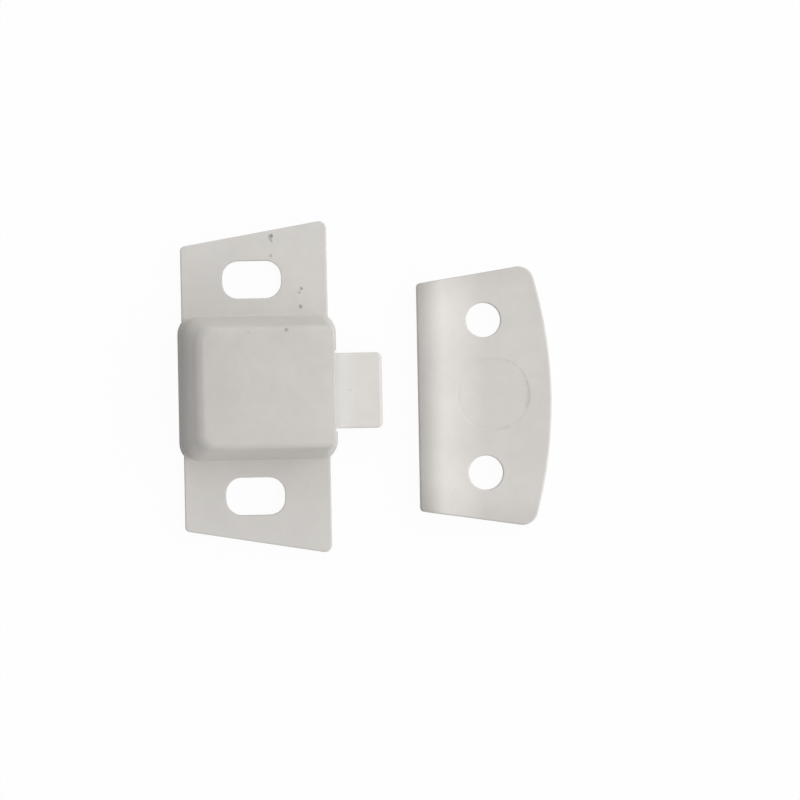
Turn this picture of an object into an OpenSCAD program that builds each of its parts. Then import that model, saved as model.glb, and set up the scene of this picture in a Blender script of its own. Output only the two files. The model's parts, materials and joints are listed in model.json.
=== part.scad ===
// Rocker catch: a sprung rocker in a moulded hood, and the strike plate that its tongue snaps over.
// X runs along the catch, Y is the way the tongue points, and Z rises from the mounting face.
// The origin lies on the mounting face, midway between the two screw slots.

/* [Flange] */
// Length of the flange along its tongue side, corner to corner
flange_len = 41.7; // [40:0.1:46]
// Distance from the screw line to the flange's back edge
flange_back = 8.85; // [8:0.05:9.2]
// Distance from the screw line to the flange's tongue-side edge
flange_front = 9.45; // [8.5:0.05:10]
// Thickness of the flange
flange_t = 1.6; // [1.2:0.1:2.4]
// Slant of the flange's two ends, in degrees
end_slant = 9.5; // [4:0.5:11]
// Radius of the flange's corners on the tongue side
flange_front_r = 0.9; // [0.4:0.1:1.6]
// Radius of the flange's corners at the back
flange_back_r = 0.6; // [0.4:0.1:1.2]

/* [Screw slots] */
// Distance between the centres of the two slots
slot_spacing = 27.1; // [26:0.1:28]
// Length of each slot, end to end
slot_len = 7.4; // [6:0.1:8.5]
// Width of each slot
slot_w = 4.7; // [3.6:0.1:5]
// Radius of the slots' corners
slot_r = 2; // [1:0.1:2.1]

/* [Hood] */
// Length of the hood at the mounting face
hood_len = 18.6; // [18:0.1:19.4]
// Distance from the screw line to the foot of the hood's back wall
hood_back = 9.45; // [9.3:0.05:10.4]
// Distance from the screw line to the foot of the hood's tongue-side wall
hood_front = 10.4; // [10.2:0.05:11]
// Thickness of the hood's walls and roof
wall_t = 1.7; // [1.4:0.1:1.9]
// Lean of the hood's back wall, in degrees
back_slope = 14.5; // [10:0.5:18]
// Draft of the hood's two end walls, in degrees
end_draft = 10.5; // [8:0.5:12]
// Draft of the hood's tongue-side wall, in degrees
front_draft = 0.5; // [0.5:0.5:2]
// Fall of the crowned roof to each side, in degrees
crown_fall = 5; // [2:0.5:7]
// Radius of the roof's edge at the back
back_edge_r = 1.6; // [1:0.1:1.8]
// Radius of the roof's edge on the tongue side
front_edge_r = 0.6; // [0.4:0.1:1]
// Radius of the roof's edges at the two ends
end_edge_r = 0.6; // [0.4:0.1:1]
// Radius of the hood's upright corners
corner_r = 2.5; // [2.2:0.1:3]

/* [Rocker] */
// Width of the tongue
tongue_w = 9.4; // [8.6:0.1:9.6]
// Distance from the screw line to the tip of the tongue
tongue_reach = 16.1; // [15:0.1:18]
// Thickness of the tongue at the pivot
tongue_root_t = 3; // [2.6:0.1:3.4]
// Thickness of the tongue at its tip
tongue_tip_t = 1.7; // [1.2:0.1:2.4]
// Radius of the tip's upper and lower edges
tip_edge_r = 0.35; // [0.2:0.05:0.5]
// Radius of the two corners of the tongue's tip, seen from the front
tongue_corner_r = 0.7; // [0.4:0.1:1.5]
// How far the rocker turns each way, in degrees
rock_deg = 25; // [23:1:27]
// Distance from the hood's tongue-side face back to the pivot
pivot_setback = 4.1; // [4:0.1:4.4]
// Radius of the rocker's hub
hub_r = 2.2; // [2:0.1:2.3]
// Distance from the pivot back to the heel's flat face
heel_len = 2.6; // [2.4:0.1:2.8]
// How far the rocker and its bay lie to one side of the middle
rocker_x = 0.55; // [-0.6:0.05:0.6]

/* [Pin] */
// Diameter of the pivot pin
pin_d = 2; // [1.6:0.1:2.2]
// Share of the pin's diameter that the saddles' snap-in mouths leave open
mouth_share = 0.85; // [0.8:0.01:0.9]

/* [Spring] */
// Diameter of the spring's coils, from wire middle to wire middle
coil_d = 4.3; // [4:0.1:4.5]
// Diameter of the spring's wire
wire_d = 0.55; // [0.4:0.05:0.6]
// Number of turns between the spring's two bent ends
turns = 5.5; // [4:0.5:6]

/* [Strike plate] */
// Distance from the catch's screw line to the strike plate's screw line, as they lie side by side
strike_y = 28.85; // [27.5:0.05:34]
// How far the strike plate lies to one side of the catch
strike_x = 1.6; // [-3:0.1:3]
// Length of the strike plate's lip
lip_len = 28.4; // [26:0.1:34]
// Distance from the strike plate's screw line to the face of its lip
lip_reach = 8.3; // [7.5:0.1:9.5]
// Distance from the strike plate's screw line to the middle of its curved edge
bow_reach = 8.4; // [7.5:0.1:10]
// Radius of the strike plate's curved edge
bow_r = 55; // [45:1:80]
// Slant of the strike plate's two ends, in degrees
strike_slant = 8.8; // [4:0.1:12]
// Thickness of the strike plate
strike_t = 2; // [1.6:0.1:2.6]
// Radius of the lip's rounded top
nose_r = 2.8; // [2.2:0.1:3.4]
// Distance from the lip's face back to its crest
crest_back = 1.8; // [1.5:0.1:2]
// Radius of the hollow sweep from the plate up to the lip
sweep_r = 10; // [7:0.5:12]
// Steepest slope of the sweep, in degrees
sweep_deg = 30; // [24:1:34]
// Distance between the strike plate's two screw holes
hole_spacing = 19.1; // [17:0.1:22]
// Diameter of the strike plate's screw holes
hole_d = 4.3; // [3.2:0.1:5]
// Radius of the corners at the ends of the curved edge
bow_corner_r = 1.9; // [1:0.1:2.5]
// Radius of the corners at the ends of the lip
lip_corner_r = 0.5; // [0.3:0.1:1.2]

/* [Hidden] */
$fn = 64;
// How far the arcs that are drawn point by point may fall short of the true arc
arc_tol = 0.01;
// Room that a cut runs past the face it starts from
past = 1;
// How far the arcs of the hood's upright corners run out past the walls, so that they cross them cleanly
crossing = 0.012;
// Running clearance of the rocker's bore on its pin, on the radius
pin_gap = 0.05;
// Room left over the swinging rocker
swing_gap = 0.3;
// Room on each side of the rocker between the saddles
side_gap = 0.4;
// Room at each end of the pivot pin
pin_end_gap = 0.2;
// Room between the spring's coils and the pegs inside them
peg_gap = 0.25;
// How far the seat stands out round the spring
seat_rim = 0.4;
// Height of the pegs that hold the spring's two ends
seat_peg = 2.2;
heel_peg = 1.5;
// Length of the chamfer round a peg's tip
peg_chamfer = 0.4;
// How far the saddles stand below the pin, and how wide they are either side of it
saddle_drop = 2.2;
saddle_half = 2.3;
// Height and half width of the saddles' flared mouths
mouth_h = 0.8;
mouth_half = 1.5;
// Wall left round the hollow under the strike plate's lip, plastic left above it, and the rib across its middle
lip_wall = 1.5;
lip_roof = 1.9;
lip_rib = 1.6;

// The pivot, and the hollow of the hood, which is as deep as the rocker's swing asks
pivot_y = hood_front - pivot_setback;
pivot_z = pivot_setback * tan(rock_deg) + tongue_root_t / 2 / cos(rock_deg) + swing_gap;
cavity_h = 2 * pivot_z;
hood_h = cavity_h + wall_t;
bay_half = tongue_w / 2 + side_gap;
heel_y = pivot_y - heel_len;
heel_half_h = sqrt(pow(pivot_z - swing_gap, 2) - pow(heel_len, 2));
pin_r = pin_d / 2;
coil_r = coil_d / 2;
peg_r = coil_r - wire_d / 2 - peg_gap;
seat_r = coil_r + wire_d / 2 + seat_rim;
seat_y = inner_back(pivot_z + seat_r) + seat_rim;
lip_top = strike_t + (sweep_r + nose_r) * (1 - cos(sweep_deg));

// Places of the hood's wall faces at height z: outside, then inside
function outer_back(z) = -hood_back + z * tan(back_slope);
function outer_front(z) = hood_front - z * tan(front_draft);
function outer_end(z) = hood_len / 2 - z * tan(end_draft);
function inner_back(z) = outer_back(z) + wall_t / cos(back_slope);
function inner_front(z) = outer_front(z) - wall_t / cos(front_draft);
function inner_end(z) = outer_end(z) - wall_t / cos(end_draft);

function unit(v) = v / norm(v);
// Rounding of corner b between a and c: its two tangent points and the centre of its arc
function rounding(a, b, c, r) =
    let (u = unit(a - b), v = unit(c - b), half = acos(u * v) / 2)
    [b + u * r / tan(half), b + v * r / tan(half), b + unit(u + v) * r / sin(half)];

// A convex outline with each corner rounded to its own radius, or left sharp where that is zero
module rounded(points, radii) {
    last = len(points) - 1;
    corners = [
        for (i = [0 : last])
            rounding(points[i == 0 ? last : i - 1], points[i], points[i == last ? 0 : i + 1], radii[i])
    ];
    polygon([for (i = [0 : last]) each radii[i] > 0 ? [corners[i][0], corners[i][1]] : [points[i]]]);
    for (i = [0 : last])
        if (radii[i] > 0)
            translate(corners[i][2]) circle(r = radii[i]);
}

// Arc of radius r in the corner between a side, which runs from p along dir, and a large arc: the middle of
// the corner's arc, and the points where it touches the side and the large arc
function arch_corner(p, dir, inward, middle, arch_r, r) =
    let (
        start = p + inward * r - middle,
        along = start * dir,
        run = sqrt(pow(along, 2) - start * start + pow(arch_r - r, 2)) - along,
        from_middle = start + dir * run
    )
    [middle + from_middle, middle + from_middle - inward * r, middle + unit(from_middle) * arch_r];

// Points along an arc, from one angle to another
function arc(middle, r, from, to) =
    let (steps = ceil(abs(to - from) / acos(1 - arc_tol / r) / 2))
    [for (i = [0 : steps]) let (a = from + (to - from) * i / steps) middle + r * [cos(a), sin(a)]];
function angle_of(v) = atan2(v[1], v[0]);

// An outline on a straight foot, with two sides that lean in by their own angles and an arched top.
// The upper corners run smoothly from the sides into the arch.
module arched(left, right, foot, lean_left, lean_right, top, arch_r, left_r, right_r, foot_r) {
    middle = [(left + right + (tan(lean_left) - tan(lean_right)) * (top - foot)) / 2, top - arch_r];
    low = [[left, foot], [right, foot]];
    up = [[sin(lean_left), cos(lean_left)], [-sin(lean_right), cos(lean_right)]];
    a = arch_corner(low[0], up[0], [up[0][1], -up[0][0]], middle, arch_r, left_r);
    b = arch_corner(low[1], up[1], [-up[1][1], up[1][0]], middle, arch_r, right_r);
    arch_from = angle_of(b[2] - middle);
    arch_to = angle_of(a[2] - middle);
    arch = arc(middle, arch_r, arch_from, arch_to);
    polygon(concat(
        foot_r > 0 ? arc(rounding(a[1], low[0], low[1], foot_r)[2], foot_r, 180 - lean_left, 270) : [low[0]],
        foot_r > 0 ? arc(rounding(low[0], low[1], b[1], foot_r)[2], foot_r, -90, lean_right) : [low[1]],
        arc(b[0], right_r, lean_right, arch_from),
        [for (i = [1 : len(arch) - 2]) arch[i]],
        arc(a[0], left_r, arch_to, 180 - lean_left)
    ));
}

// An outline drawn in Y and Z, extruded along X about the middle
module along_x(length) {
    rotate([90, 0, 90]) linear_extrude(length, center = true) children();
}

// An outline drawn in X and Z, extruded along Y about the middle
module along_y(length) {
    rotate([90, 0, 0]) linear_extrude(length, center = true) children();
}

// A peg that points along Y from the origin, with a chamfered tip
module peg(r, h) {
    rotate([-90, 0, 0]) {
        cylinder(r = r, h = h - peg_chamfer);
        translate([0, 0, h - peg_chamfer]) cylinder(r1 = r, r2 = r - peg_chamfer, h = peg_chamfer);
    }
}

// A screw slot. Its corners stay short of a half circle, whatever its width.
module slot() {
    corner = [slot_w / 2, slot_len / 2];
    r = min(slot_r, 0.45 * slot_w);
    translate([0, 0, -past]) linear_extrude(flange_t + 2 * past)
        rounded([-corner, [corner[0], -corner[1]], corner, [-corner[0], corner[1]]], [r, r, r, r]);
}

module flange() {
    half = flange_len / 2;
    back_half = half - (flange_front + flange_back) * tan(end_slant);
    linear_extrude(flange_t)
        rounded(
            [
                [-half, flange_front],
                [-back_half, -flange_back],
                [back_half, -flange_back],
                [half, flange_front]
            ],
            [flange_front_r, flange_back_r, flange_back_r, flange_front_r]
        );
}

// The hood with sharp upright corners: its section along Y crossed with its section along X
module hood_block() {
    span = outer_front(hood_h) - outer_back(hood_h);
    length = 2 * (hood_len + flange_len);
    intersection() {
        along_x(length)
            arched(
                outer_back(0), outer_front(0), 0, back_slope, front_draft,
                hood_h, span / 2 / sin(crown_fall), back_edge_r, front_edge_r, 0
            );
        along_y(length)
            rounded(
                [
                    [-outer_end(0), 0],
                    [outer_end(0), 0],
                    [outer_end(hood_h), hood_h],
                    [-outer_end(hood_h), hood_h]
                ],
                [0, 0, end_edge_r, end_edge_r]
            );
    }
}

// The part of v that runs across the line along a, as a unit vector
function across(v, a) = unit(v - (v * a) * a);

// What is cut away to round one upright corner of the hood, whose edge leans with both its walls:
// foot and top are the edge's places along Y at the mounting face and at the roof's height
module corner_cut(side, foot, top) {
    low = [side * outer_end(0), foot, 0];
    edge = unit([side * outer_end(hood_h), top, hood_h] - low);
    // Along the end wall and along the other wall, square to the corner's edge
    u = across([0, -sign(foot), 0], edge);
    v = across([-side, 0, 0], edge);
    w = cross(edge, u);
    flat_v = [v * u, v * w];
    half = acos(flat_v[0]) / 2;
    bisector = unit([1, 0] + flat_v);
    middle = bisector * (corner_r - crossing) / sin(half);
    multmatrix([for (k = [0 : 2]) [u[k], w[k], edge[k], low[k]]])
        translate([0, 0, -past]) linear_extrude(hood_h / edge[2] + 2 * past)
            difference() {
                polygon([[corner_r / tan(half), 0], middle, flat_v * corner_r / tan(half), -past * bisector]);
                translate(middle) circle(r = corner_r);
            }
}

module hood() {
    difference() {
        hood_block();
        for (side = [-1, 1]) {
            corner_cut(side, outer_back(0), outer_back(hood_h));
            corner_cut(side, outer_front(0), outer_front(hood_h));
        }
    }
}

module cavity() {
    length = 2 * (hood_len + flange_len);
    intersection() {
        along_x(length)
            polygon([
                [inner_back(-past), -past],
                [inner_front(-past), -past],
                [inner_front(cavity_h), cavity_h],
                [inner_back(cavity_h), cavity_h]
            ]);
        along_y(length)
            polygon([
                [-inner_end(-past), -past],
                [inner_end(-past), -past],
                [inner_end(cavity_h), cavity_h],
                [-inner_end(cavity_h), cavity_h]
            ]);
    }
    translate([rocker_x - bay_half, inner_front(cavity_h) - past, -past])
        cube([2 * bay_half, wall_t + 4 * past, cavity_h + past]);
}

module saddles() {
    foot = pivot_z - saddle_drop;
    depth = inner_front(0) + wall_t / 2 - (pivot_y - saddle_half);
    for (s = [-1, 1])
        translate([s > 0 ? rocker_x + bay_half : -hood_len / 2, pivot_y - saddle_half, foot])
            cube([hood_len / 2 - bay_half - s * rocker_x, depth, hood_h - wall_t / 2 - foot]);
}

module spring_seat() {
    translate([0, -hood_back, pivot_z]) rotate([-90, 0, 0]) cylinder(r = seat_r, h = seat_y + hood_back);
}

module pin_mouths() {
    foot = pivot_z - saddle_drop;
    neck = mouth_share * pin_r;
    along_x(2 * inner_end(pivot_z)) {
        translate([pivot_y, pivot_z]) circle(r = pin_r);
        polygon([
            [pivot_y - mouth_half, foot],
            [pivot_y + mouth_half, foot],
            [pivot_y + neck, foot + mouth_h],
            [pivot_y + neck, pivot_z],
            [pivot_y - neck, pivot_z],
            [pivot_y - neck, foot + mouth_h]
        ]);
    }
}

module housing() {
    color("#d2cfca") {
        difference() {
            union() {
                difference() {
                    union() {
                        flange();
                        hood();
                    }
                    cavity();
                    for (s = [-1, 1])
                        translate([s * slot_spacing / 2, 0, 0]) slot();
                }
                intersection() {
                    union() {
                        saddles();
                        spring_seat();
                    }
                    hood();
                }
            }
            pin_mouths();
        }
        translate([0, seat_y, pivot_z]) peg(peg_r, seat_peg);
    }
}

module rocker_side() {
    tip = tongue_tip_t / 2;
    root = tongue_root_t / 2;
    rounded(
        [
            [pivot_y, pivot_z - root],
            [tongue_reach, pivot_z - tip],
            [tongue_reach, pivot_z + tip],
            [pivot_y, pivot_z + root]
        ],
        [0, tip_edge_r, tip_edge_r, 0]
    );
    translate([pivot_y, pivot_z]) circle(r = hub_r);
    translate([heel_y, pivot_z - heel_half_h]) square([heel_len, 2 * heel_half_h]);
}

module rocker() {
    half = tongue_w / 2;
    color("#d8d5d0") translate([rocker_x, 0, 0]) {
        difference() {
            intersection() {
                along_x(tongue_w) rocker_side();
                linear_extrude(hood_h)
                    rounded(
                        [[-half, heel_y], [half, heel_y], [half, tongue_reach], [-half, tongue_reach]],
                        [0, 0, tongue_corner_r, tongue_corner_r]
                    );
            }
            along_x(tongue_w + 2 * past) translate([pivot_y, pivot_z]) circle(r = pin_r + pin_gap);
        }
        translate([-rocker_x, heel_y, pivot_z]) mirror([0, 1, 0]) peg(peg_r, heel_peg);
    }
}

module pivot_pin() {
    color("#b4b6b8")
        translate([0, pivot_y, pivot_z]) rotate([0, 90, 0])
            cylinder(r = pin_r, h = 2 * (inner_end(pivot_z) - pin_end_gap), center = true);
}

// The spring's wire, on a cylinder about the Y axis: the run round the coil and the rise along Y at each ring
rings_per_turn = 8;
bend_rings = 4;
wire_sides = 6;
bend_r = 2 * wire_d;
spring_len = heel_y - seat_y;
helix_run = 2 * PI * coil_r * turns;
helix_deg = atan((spring_len - 2 * wire_d - 2 * bend_r) / helix_run);
end_run = wire_d + bend_r * (1 - cos(helix_deg));
function bend(i) =
    let (a = (90 - helix_deg) * i / bend_rings)
    [bend_r * (1 - cos(a)), end_run + bend_r * sin(a)];
bent = bend(bend_rings);
total_run = helix_run + 2 * bent[0];
first_half = concat([[0, 0]], [for (i = [0 : bend_rings]) bend(i)]);
helix_rings = ceil(rings_per_turn * turns);
wire = concat(
    first_half,
    [for (i = [1 : helix_rings - 1]) bent + [helix_run, helix_run * tan(helix_deg)] * i / helix_rings],
    [for (i = [len(first_half) - 1 : -1 : 0]) [total_run, spring_len] - first_half[i]]
);

function turned(run) = run / coil_r * 180 / PI;
function wire_point(w) = [coil_r * cos(turned(w[0])), seat_y + w[1], pivot_z + coil_r * sin(turned(w[0]))];
function wire_ring(i) =
    let (
        last = len(wire) - 1,
        step = wire[min(i + 1, last)] - wire[max(i - 1, 0)],
        a = turned(wire[i][0]),
        out = [cos(a), 0, sin(a)],
        ahead = unit([-sin(a) * step[0], step[1], cos(a) * step[0]]),
        side = cross(out, ahead)
    )
    [
        for (k = [0 : wire_sides - 1])
            let (b = 360 * k / wire_sides)
            wire_point(wire[i]) + wire_d / 2 * (out * cos(b) + side * sin(b))
    ];

wire_gap = min([
    for (i = [0 : len(wire) - 1])
        for (j = [i + 1 : 1 : len(wire) - 1])
            if (wire[j][0] - wire[i][0] > PI * coil_r)
                norm(wire_point(wire[i]) - wire_point(wire[j])) - wire_d
]);

module return_spring() {
    echo(least_gap_between_turns = wire_gap);
    rings = len(wire);
    points = [for (i = [0 : rings - 1]) each wire_ring(i)];
    sides = [
        for (i = [0 : rings - 2])
            for (k = [0 : wire_sides - 1])
                let (
                    a = i * wire_sides + k,
                    b = i * wire_sides + (k + 1) % wire_sides
                )
                each [[a, b, b + wire_sides], [a, b + wire_sides, a + wire_sides]]
    ];
    end = (rings - 1) * wire_sides;
    caps = [
        for (k = [1 : wire_sides - 2])
            each [[0, k + 1, k], [end, end + k, end + k + 1]]
    ];
    color("#a9abad") polyhedron(points, concat(sides, caps));
}

// The strike plate's outline from the front, about its own screw line
module strike_outline() {
    arched(
        -lip_len / 2, lip_len / 2, -lip_reach, -strike_slant, -strike_slant,
        bow_reach, bow_r, bow_corner_r, bow_corner_r, lip_corner_r
    );
}

// The strike plate's section: a flat plate that sweeps up to a rounded lip, which its outline cuts off square
module strike_side() {
    nose_y = crest_back - lip_reach;
    nose_z = lip_top - nose_r;
    flat_y = nose_y + (sweep_r + nose_r) * sin(sweep_deg);
    blend = [nose_y + nose_r * sin(sweep_deg), nose_z + nose_r * cos(sweep_deg)];
    translate([-lip_reach, 0]) square([lip_reach + bow_reach, strike_t]);
    translate([-lip_reach - past, 0]) square([crest_back + past, nose_z]);
    translate([nose_y, nose_z]) circle(r = nose_r);
    difference() {
        polygon([[nose_y, 0], [flat_y, 0], [flat_y, strike_t], blend, [nose_y, nose_z]]);
        translate([flat_y, strike_t + sweep_r]) circle(r = sweep_r, $fn = 4 * $fn);
    }
}

// The hollow that cores out the lip from behind, in two halves
module lip_hollows() {
    width = 2 * crest_back - lip_wall;
    length = lip_len / 2 - lip_rib / 2 - 2 * lip_wall;
    for (s = [-1, 1])
        translate([s * (lip_rib + length) / 2, lip_wall + width / 2 - lip_reach, 0])
            cube([length, width, 2 * (lip_top - lip_roof)], center = true);
}

module strike_plate() {
    color("#d2cfca") translate([strike_x, strike_y, 0])
        difference() {
            intersection() {
                along_x(2 * lip_len) strike_side();
                linear_extrude(lip_top + past) strike_outline();
            }
            for (s = [-1, 1])
                translate([s * hole_spacing / 2, 0, -past]) cylinder(d = hole_d, h = lip_top + 2 * past);
            lip_hollows();
        }
}

housing();
rocker();
pivot_pin();
return_spring();
strike_plate();
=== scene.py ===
"""Rocker catch: a moulded hood with a sprung rocking tongue, and the strike plate that the tongue snaps over.

The meshes are modelled in millimetres and brought to metres when a piece is finished.
"""

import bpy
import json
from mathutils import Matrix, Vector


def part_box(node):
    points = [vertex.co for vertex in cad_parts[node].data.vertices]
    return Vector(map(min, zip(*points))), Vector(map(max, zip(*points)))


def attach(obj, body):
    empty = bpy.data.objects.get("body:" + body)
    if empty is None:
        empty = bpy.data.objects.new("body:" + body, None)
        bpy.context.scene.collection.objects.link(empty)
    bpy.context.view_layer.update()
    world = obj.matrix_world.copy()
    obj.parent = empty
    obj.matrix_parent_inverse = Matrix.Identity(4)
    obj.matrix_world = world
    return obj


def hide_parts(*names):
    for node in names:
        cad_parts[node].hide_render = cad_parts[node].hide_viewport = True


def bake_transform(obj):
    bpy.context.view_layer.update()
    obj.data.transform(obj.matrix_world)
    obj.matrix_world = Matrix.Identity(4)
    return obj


bl_info = {
    "name": "Rocker Catch",
    "version": (1, 0, 0),
    "blender": (4, 5, 0),
    "location": "View3D > Sidebar > Rocker Catch",
    "description": "Builds a sprung rocker catch and its strike plate",
    "category": "Add Mesh",
}

import json
from math import asin, cos, pi, radians, sin, sqrt, tan

import bmesh
import bpy
from bpy.props import FloatProperty, FloatVectorProperty, IntProperty, PointerProperty
from bpy.types import Operator, Panel, PropertyGroup
from mathutils import Matrix, Vector
from mathutils.geometry import intersect_line_sphere_2d

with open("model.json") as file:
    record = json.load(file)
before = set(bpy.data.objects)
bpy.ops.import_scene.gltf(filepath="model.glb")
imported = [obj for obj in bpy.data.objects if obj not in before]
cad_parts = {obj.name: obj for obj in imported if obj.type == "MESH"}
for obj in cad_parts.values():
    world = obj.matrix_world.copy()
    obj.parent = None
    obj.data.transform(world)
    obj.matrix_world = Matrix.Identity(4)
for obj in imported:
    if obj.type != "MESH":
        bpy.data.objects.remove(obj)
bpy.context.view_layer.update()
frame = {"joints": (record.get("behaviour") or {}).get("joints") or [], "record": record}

MM = 0.001
MOUNTS = {mount["name"]: mount for mount in frame["record"]["mounts"]}
SLOT_DIMS = MOUNTS["screw_slots"]["dims"]
HOLE_DIMS = MOUNTS["strike_holes"]["dims"]
# Places in millimetres: the rocker's pivot, and the middle of the strike plate's screw line
PIVOT = Vector(next(j["pos_m"] for j in frame["joints"] if j["name"] == "rocker_pivot")) / MM
STRIKE = Vector(MOUNTS["strike_holes"]["pos_m"]) / MM
# Lowest and highest corner of each moulding, in millimetres
HOUSING_LOW, HOUSING_HIGH = (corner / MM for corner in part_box("housing"))
ROCKER_LOW, ROCKER_HIGH = (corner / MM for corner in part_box("rocker"))
ROCKER_MIDDLE = (ROCKER_LOW.x + ROCKER_HIGH.x) / 2
PIN_LOW, PIN_HIGH = (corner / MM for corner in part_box("pivot_pin"))
SPRING_LOW, SPRING_HIGH = (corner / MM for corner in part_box("return_spring"))
STRIKE_LOW, STRIKE_HIGH = (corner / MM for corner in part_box("strike_plate"))

# How far a cutter runs past the face it starts from, and how far a peg is let into what carries it
PAST = 1.0
LET_IN = 0.6
# How far a surface that should blend into another one is sunk into it
FLUSH = 0.01
# Points nearer than this are one point
WELD = 1e-4
# An edge whose faces turn by more than this, in radians, is a rim
RIM_TURN = 0.9
# Faces that meet at less than this angle look like one smooth face
SMOOTH_BELOW = radians(32)
# Steps in a quarter turn, and sides of a round rod
QUARTER_STEPS = 8
ROUND_SIDES = 48
# Pitch of the spring's closed turns, in wire diameters
CLOSED_PITCH = 1.03


def length(label, tells, millimetres):
    """A length that a user can change, given in millimetres."""
    return FloatProperty(name=label, description=tells, default=millimetres * MM, unit="LENGTH", precision=5)


def radius_of(label, where, millimetres):
    """A radius that a user can change, given in millimetres."""
    return length(label, f"Radius of {where}", millimetres)


def angle(label, tells, degrees):
    """An angle that a user can change, given in degrees."""
    return FloatProperty(name=label, description=tells, default=radians(degrees), subtype="ANGLE")


def share(label, tells, value):
    """A share from 0 to 1 that a user can change."""
    return FloatProperty(name=label, description=tells, default=value, min=0, max=1, subtype="FACTOR")


def colour(label, tells, value):
    """A colour that a user can change."""
    return FloatVectorProperty(name=label, description=tells, default=value, min=0, max=1, subtype="COLOR")


class HousingSizes(PropertyGroup):
    """Sizes of the flanged hood"""

    flange_len: length("Flange length", "Length of the flange's tongue side", 41.7)
    flange_front: length("Flange front", "Screw line to the flange's tongue side", 9.45)
    flange_back: length("Flange back", "Screw line to the flange's back edge", 8.85)
    flange_t: length("Flange thickness", "Thickness of the flange", 1.6)
    flange_slant: angle("Flange slant", "Slant of the flange's two ends", 9.5)
    flange_front_r: radius_of("Front corners", "the flange's tongue-side corners", 0.9)
    flange_back_r: radius_of("Back corners", "the flange's back corners", 0.6)
    rim_r: radius_of("Rim", "the flange's upper rim", 0.2)
    slot_spacing: length("Slot spacing", "Between the middles of the screw slots", SLOT_DIMS["spacing_x_mm"])
    slot_len: length("Slot length", "Length of each screw slot", SLOT_DIMS["slot_length_mm"])
    slot_w: length("Slot width", "Width of each screw slot", 2 * SLOT_DIMS["hole_r_mm"])
    slot_r: radius_of("Slot corners", "each slot's corners", 2)
    slot_rim_r: radius_of("Slot rim", "each slot's rim", 0.15)
    hood_len: length("Hood length", "Length of the hood at the mounting face", 18.6)
    hood_back: length("Hood back", "Screw line to the back wall's foot", -HOUSING_LOW.y)
    hood_front: length("Hood front", "Screw line to the front wall's foot", HOUSING_HIGH.y)
    hood_h: length("Hood height", "Height of the hood's ridge", HOUSING_HIGH.z)
    wall_t: length("Wall", "Thickness of the hood's walls and roof", 1.7)
    back_slope: angle("Back slope", "Lean of the hood's back wall", 14.5)
    end_draft: angle("End draft", "Lean of the hood's end walls", 10.5)
    front_draft: angle("Front draft", "Lean of the hood's front wall", 0.5)
    crown_fall: angle("Crown", "Fall of the roof to back and front", 5)
    back_edge_r: radius_of("Back roof edge", "the roof's back edge", 1.3)
    front_edge_r: radius_of("Front roof edge", "the roof's tongue-side edge", 0.12)
    end_edge_r: radius_of("End roof edges", "the roof's end edges", 0.7)
    corner_r: radius_of("Upright corners", "the hood's upright corners at its foot", 2.5)
    roof_front_r: radius_of("Front roof corners", "the tongue-side corners at the roof", 0.8)
    roof_back_r: radius_of("Back roof corners", "the back corners at the roof", 1.9)
    inner_corner_r: length("Inner corners", "Least radius of the corners inside the hood", 0.4)
    foot_r: radius_of("Foot fillet", "the fillet between hood and flange", 0.2)
    bay_w: length("Bay", "Width of the rocker's bay", 10.2)
    pin_d: length("Pin seat", "Diameter of the pin's seats", 2.0)
    saddle_drop: length("Saddle drop", "Reach of the saddles below the pin", 2.2)
    saddle_half: length("Saddle half width", "Reach of the saddles behind the pin", 2.3)
    mouth_neck: length("Mouth neck", "Width of the mouth's neck", 1.7)
    mouth_w: length("Mouth", "Width of the mouth's flare", 3.0)
    mouth_h: length("Mouth height", "Height of the mouth's flare", 0.8)
    seat_r: radius_of("Spring seat", "the spring's boss", 2.825)
    peg_r: radius_of("Peg", "the pegs inside the spring", 1.625)
    peg_len: length("Peg length", "Length of the seat's peg", 2.2)
    peg_chamfer: length("Peg chamfer", "Chamfer round the pegs' tips", 0.4)


class RockerSizes(PropertyGroup):
    """Sizes of the rocking tongue"""

    width: length("Width", "Width of the tongue", ROCKER_HIGH.x - ROCKER_LOW.x)
    tip: length("Reach", "Screw line to the tongue's tip", ROCKER_HIGH.y)
    root_t: length("Root", "Thickness of the tongue at the pivot", 3.0)
    nose_t: length("Nose", "Thickness of the tongue at its nose", 1.7)
    edge_r: radius_of("Nose edges", "the nose's upper and lower edges", 0.35)
    corner_r: radius_of("Tip corners", "the two corners of the tip", 0.7)
    rim_r: radius_of("Rim", "the tongue's long edges", 0.3)
    hub_r: radius_of("Hub", "the hub round the pin", 2.2)
    heel_len: length("Heel", "Pivot to the heel's face", 2.6)
    bore_r: radius_of("Bore", "the bore that runs on the pin", 1.05)
    peg_len: length("Peg length", "Length of the heel's peg", 1.5)


class SpringSizes(PropertyGroup):
    """Sizes of the return spring and the pivot pin"""

    coil_r: radius_of("Coil", "the coils at the middle of the wire", 2.15)
    wire_d: length("Wire", "Diameter of the wire", 0.55)
    turns: FloatProperty(name="Turns", description="Open turns between the closed ends", default=3.5)
    closed: FloatProperty(name="Closed turns", description="Closed turns at each end", default=0.9)
    rings: IntProperty(name="Rings", description="Rings in each turn of the wire", default=40)
    pin_chamfer: length("Pin chamfer", "Chamfer at the ends of the pivot pin", 0.2)


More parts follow.
